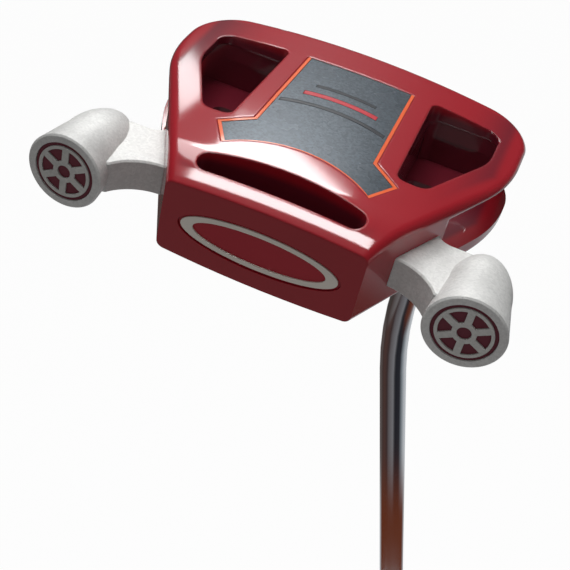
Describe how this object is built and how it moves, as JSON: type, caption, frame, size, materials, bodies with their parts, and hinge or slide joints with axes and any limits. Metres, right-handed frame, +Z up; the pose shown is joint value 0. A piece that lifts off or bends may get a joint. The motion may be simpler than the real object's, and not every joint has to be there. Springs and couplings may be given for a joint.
{
  "type": "mallet putter",
  "caption": "Red mallet golf putter with two silver side pods behind the head, a grey sole badge, a bent chromed shaft and a black rubber grip, stored sole up.",
  "frame": {"origin": "centre of the grip cap's flat bottom, on the axis of the straight part of the shaft", "axes": "+Z up along the straight shaft towards the head, which is at the top with its sole up; +Y from the rear of the head to the striking face; +X to the heel side"},
  "size_m": [0.1294, 0.094, 0.8771],
  "materials": {
    "red_body": "gloss",
    "badge_grey": "satin",
    "border_orange": "gloss",
    "medallion_red": "satin",
    "ring_silver": "satin",
    "insert_grey": "matte",
    "bond_tape": "matte",
    "line_white": "gloss",
    "shaft_chrome": "polished",
    "plug_plastic": "matte",
    "grip_rubber": "matte",
    "grip_cap": "matte",
    "pod_silver": "matte",
    "slug_tungsten": "satin",
    "disc_maroon": "satin",
    "wheel_silver": "satin",
    "stud_steel": "satin"
  },
  "bodies": {
    "root": {"badge_border": "border_orange", "face_insert": "insert_grey", "grip_cap": "grip_cap", "grip_sleeve": "grip_rubber", "grip_tape": "bond_tape", "head_casting": "red_body", "heel_backing_disc": "disc_maroon", "heel_end_wheel": "wheel_silver", "heel_pod": "pod_silver", "heel_slug": "slug_tungsten", "heel_studs": "stud_steel", "insert_tape": "bond_tape", "medallion_plate": "medallion_red", "medallion_ring": "ring_silver", "shaft": "shaft_chrome", "shaft_plug": "plug_plastic", "sight_line": "line_white", "sole_badge": "badge_grey", "toe_backing_disc": "disc_maroon", "toe_end_wheel": "wheel_silver", "toe_pod": "pod_silver", "toe_slug": "slug_tungsten", "toe_studs": "stud_steel"}
  },
  "joints": []
}
